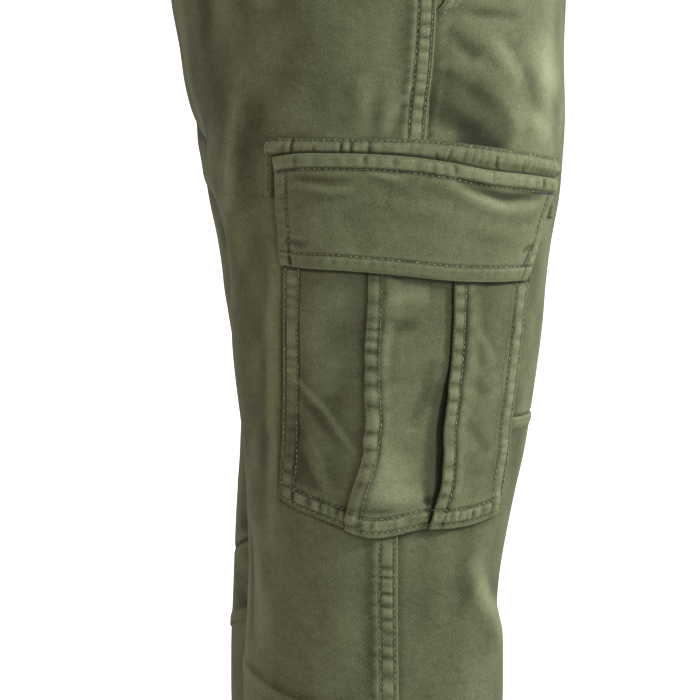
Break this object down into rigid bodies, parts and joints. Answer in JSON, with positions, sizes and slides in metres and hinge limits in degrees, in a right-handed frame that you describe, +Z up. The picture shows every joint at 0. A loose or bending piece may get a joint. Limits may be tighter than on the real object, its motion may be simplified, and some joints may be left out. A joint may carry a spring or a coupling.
{
  "type": "cargo pants",
  "caption": "Worn, hollow cargo pants in olive cotton twill, with a flapped, pleated cargo pocket on each thigh, slant front pockets, a fly and belt loops.",
  "frame": {"origin": "centre of the waist, level with the top of the waistband", "axes": "+Z up, the front of the garment faces -Y, the wearer's right leg is at -X"},
  "size_m": [0.3936, 0.2589, 1.0395],
  "materials": {
    "twill": "olive cotton twill, garment washed, matt with a slight sheen",
    "thread": "dark olive polyester-cotton sewing thread",
    "button": "dark four-hole button, moulded, satin"
  },
  "bodies": {
    "root": {"front_upper_right": "twill", "front_upper_left": "twill", "front_lower_right": "twill", "front_lower_left": "twill", "back_upper_right": "twill", "back_upper_left": "twill", "back_lower_right": "twill", "back_lower_left": "twill", "hip_facing_right": "twill", "hip_facing_left": "twill", "cargo_strip_right": "twill", "cargo_strip_left": "twill", "cargo_flap_right": "twill", "cargo_flap_left": "twill", "cargo_pocket_right": "twill", "cargo_pocket_left": "twill", "waistband": "twill", "fly": "twill", "belt_loop_1": "twill", "belt_loop_2": "twill", "belt_loop_3": "twill", "belt_loop_4": "twill", "belt_loop_5": "twill", "button": "button"}
  },
  "joints": []
}
